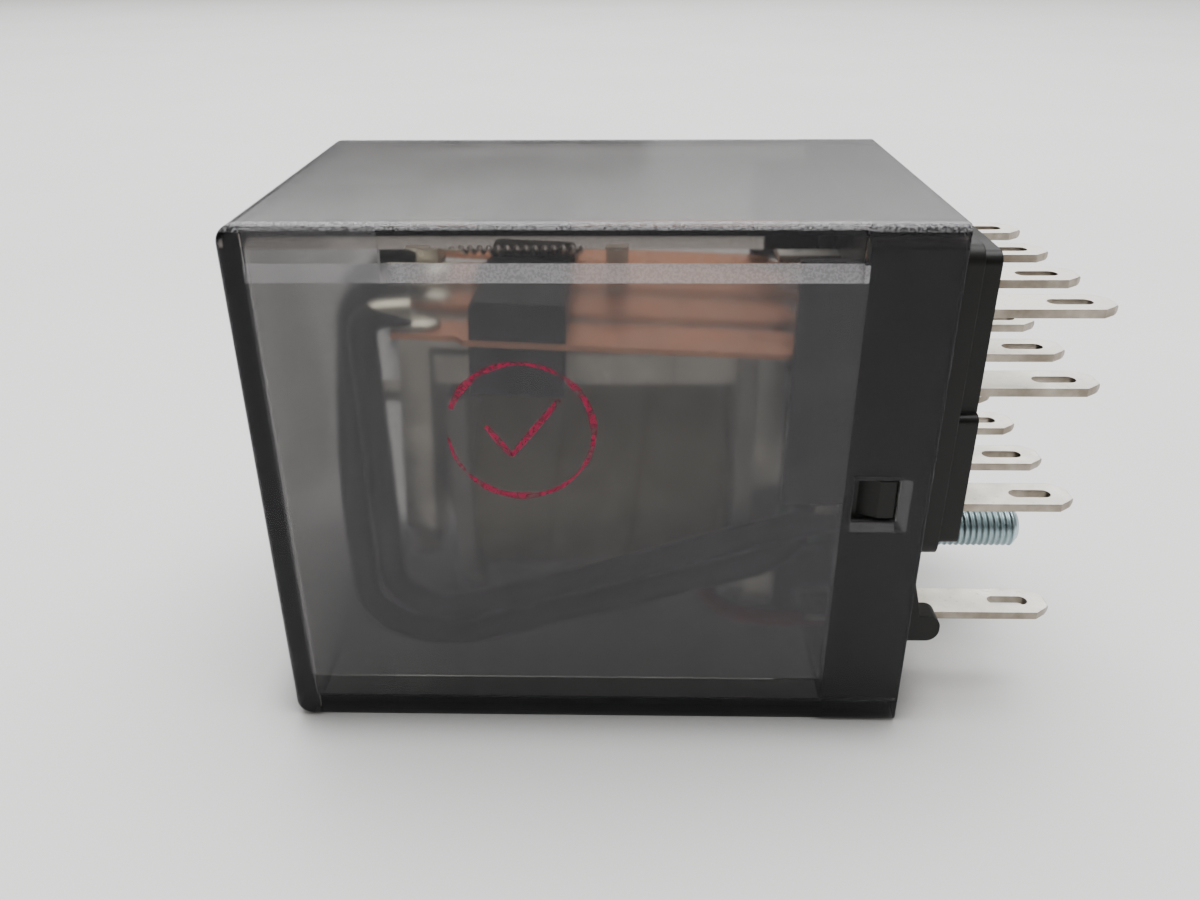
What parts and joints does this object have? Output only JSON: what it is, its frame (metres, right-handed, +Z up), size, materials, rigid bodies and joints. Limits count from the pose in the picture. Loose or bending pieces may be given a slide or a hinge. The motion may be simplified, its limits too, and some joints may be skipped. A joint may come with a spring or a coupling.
{
  "type": "plug-in control relay",
  "caption": "Plug-in electrical control relay on its side: smoked clear cover over coil, armature and contact springs, black base with flat blade terminals and a threaded mounting stud.",
  "frame": {"origin": "centre of the bounding box in plan, at the underside of the side it lies on", "axes": "+X the way the terminals point, +Y across the relay away from the side seen, +Z up with the relay on its side, the coil terminals lowest"},
  "size_m": [0.0426, 0.0208, 0.028],
  "materials": {
    "smoked_clear": "smoked see-through polycarbonate, gloss edges and a frosted main panel",
    "black_moulding": "black glass-filled moulding, satin",
    "zinc_plated": "bright zinc plate on a rolled thread",
    "plated_iron": "soft iron with a thin nickel plate",
    "bobbin_moulding": "off-white nylon, slightly see-through",
    "enamelled_wire": "enamelled copper wire",
    "coil_tape": "beige polyester tape",
    "tinned_brass": "tin plate over brass, worn along the edges",
    "spring_copper": "rolled copper alloy strip",
    "silver": "silver alloy contact",
    "spring_steel": "drawn spring wire",
    "black_sleeve": "soft black sleeving",
    "red_sleeve": "dark red sleeving"
  },
  "bodies": {
    "frame": {"cover": "smoked_clear", "base": "black_moulding", "mounting_stud": "zinc_plated", "yoke": "plated_iron", "core": "plated_iron", "bobbin": "bobbin_moulding", "coil_winding": "enamelled_wire", "coil_tape": "coil_tape", "nc_contacts": "silver", "no_contacts": "silver", "return_spring": "spring_steel", "contact_lead_1": "black_sleeve", "contact_lead_2": "black_sleeve", "contact_lead_3": "black_sleeve", "contact_lead_4": "black_sleeve", "coil_lead_1": "red_sleeve", "coil_lead_2": "red_sleeve", "no_terminal_1": "tinned_brass", "no_terminal_2": "tinned_brass", "no_terminal_3": "tinned_brass", "no_terminal_4": "tinned_brass", "nc_terminal_1": "tinned_brass", "nc_terminal_2": "tinned_brass", "nc_terminal_3": "tinned_brass", "nc_terminal_4": "tinned_brass", "com_terminal_1": "tinned_brass", "com_terminal_2": "tinned_brass", "com_terminal_3": "tinned_brass", "com_terminal_4": "tinned_brass", "coil_terminal_1": "tinned_brass", "coil_terminal_2": "tinned_brass"},
    "armature": {"armature": "plated_iron", "spring_carrier": "black_moulding", "moving_contacts": "silver", "moving_spring_1": "spring_copper", "moving_spring_2": "spring_copper", "moving_spring_3": "spring_copper", "moving_spring_4": "spring_copper"}
  },
  "joints": [
    {"name": "armature_hinge", "type": "hinge", "parent": "frame", "child": "armature", "pos_m": [-0.0128, 0, 0.0204], "axis": [0, -1, 0], "range_deg": [0, 2.5], "stiffness_Nm_per_rad": 0.005, "springref_deg": -20.05, "deforming": ["return_spring"]}
  ]
}
